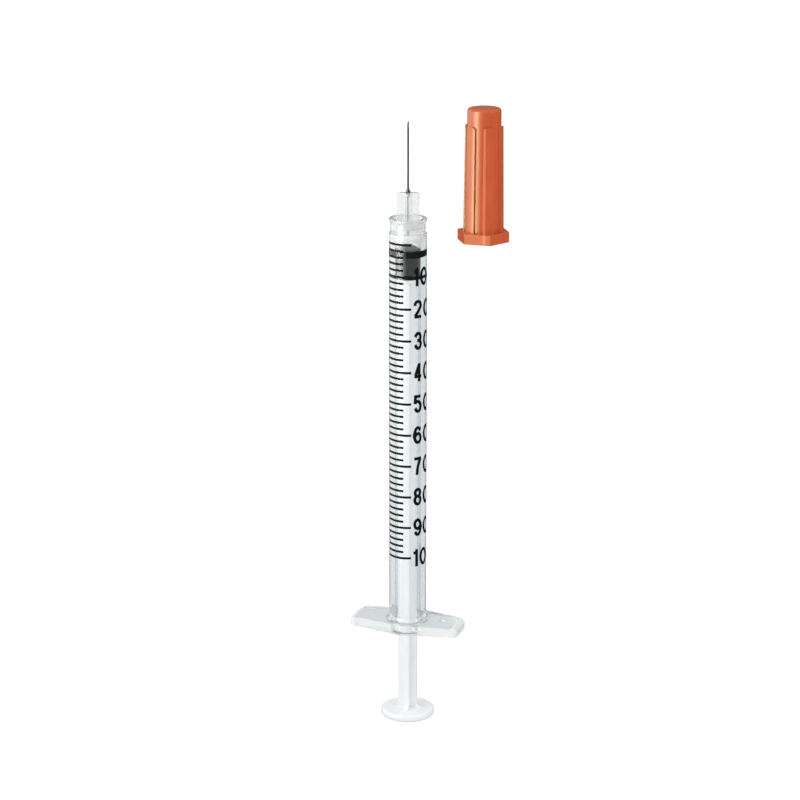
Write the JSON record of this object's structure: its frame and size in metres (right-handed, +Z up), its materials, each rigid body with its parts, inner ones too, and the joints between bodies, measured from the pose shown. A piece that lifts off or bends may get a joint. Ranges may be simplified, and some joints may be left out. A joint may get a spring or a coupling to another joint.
{
  "type": "insulin syringe",
  "caption": "Slim insulin syringe with a clear graduated barrel, finger flange, bonded fine needle, black rubber stopper, white plunger rod and an orange needle cap taken off.",
  "frame": {"origin": "centre of the underside of the thumb disk, on which the syringe stands", "axes": "+Z up the axis of the plunger, barrel and needle to the needle's point; X along the long way of the finger flange, with the taken-off cap on the +X side; the scale faces -Y"},
  "size_m": [0.0286, 0.0098, 0.1132],
  "materials": {
    "clear_barrel": "clear moulded polypropylene, smooth, with a faint cool haze",
    "clear_hub": "clear moulded plastic, a little cloudier than the barrel where it is thick",
    "needle_steel": "drawn and polished stainless tube with a ground point",
    "needle_adhesive": "cured clear adhesive, glossy",
    "stopper_rubber": "black moulded rubber with a thin film of silicone",
    "plunger_white": "milky white moulded plastic, satin",
    "cap_orange": "orange moulded plastic, satin, with softly rounded edges"
  },
  "bodies": {
    "plunger": {"plunger_rod": "plunger_white"},
    "stopper": {"stopper": "stopper_rubber"},
    "barrel": {"barrel": "clear_barrel", "needle_hub": "clear_hub", "needle": "needle_steel", "needle_adhesive": "needle_adhesive"},
    "cap": {"needle_cap": "cap_orange"}
  },
  "joints": [
    {"name": "stopper_turn", "type": "hinge", "parent": "plunger", "child": "stopper", "pos_m": [0, 0, 0.0838], "axis": [0, 0, 1], "continuous": true},
    {"name": "plunger_draw", "type": "slide", "parent": "stopper", "child": "barrel", "axis": [0, 0, 1], "range_m": [-0.0013, 0.0626]},
    {"name": "cap_pull", "type": "slide", "parent": "barrel", "child": "cap", "axis": [0, 0, 1], "range_m": [0, 0.022]}
  ]
}
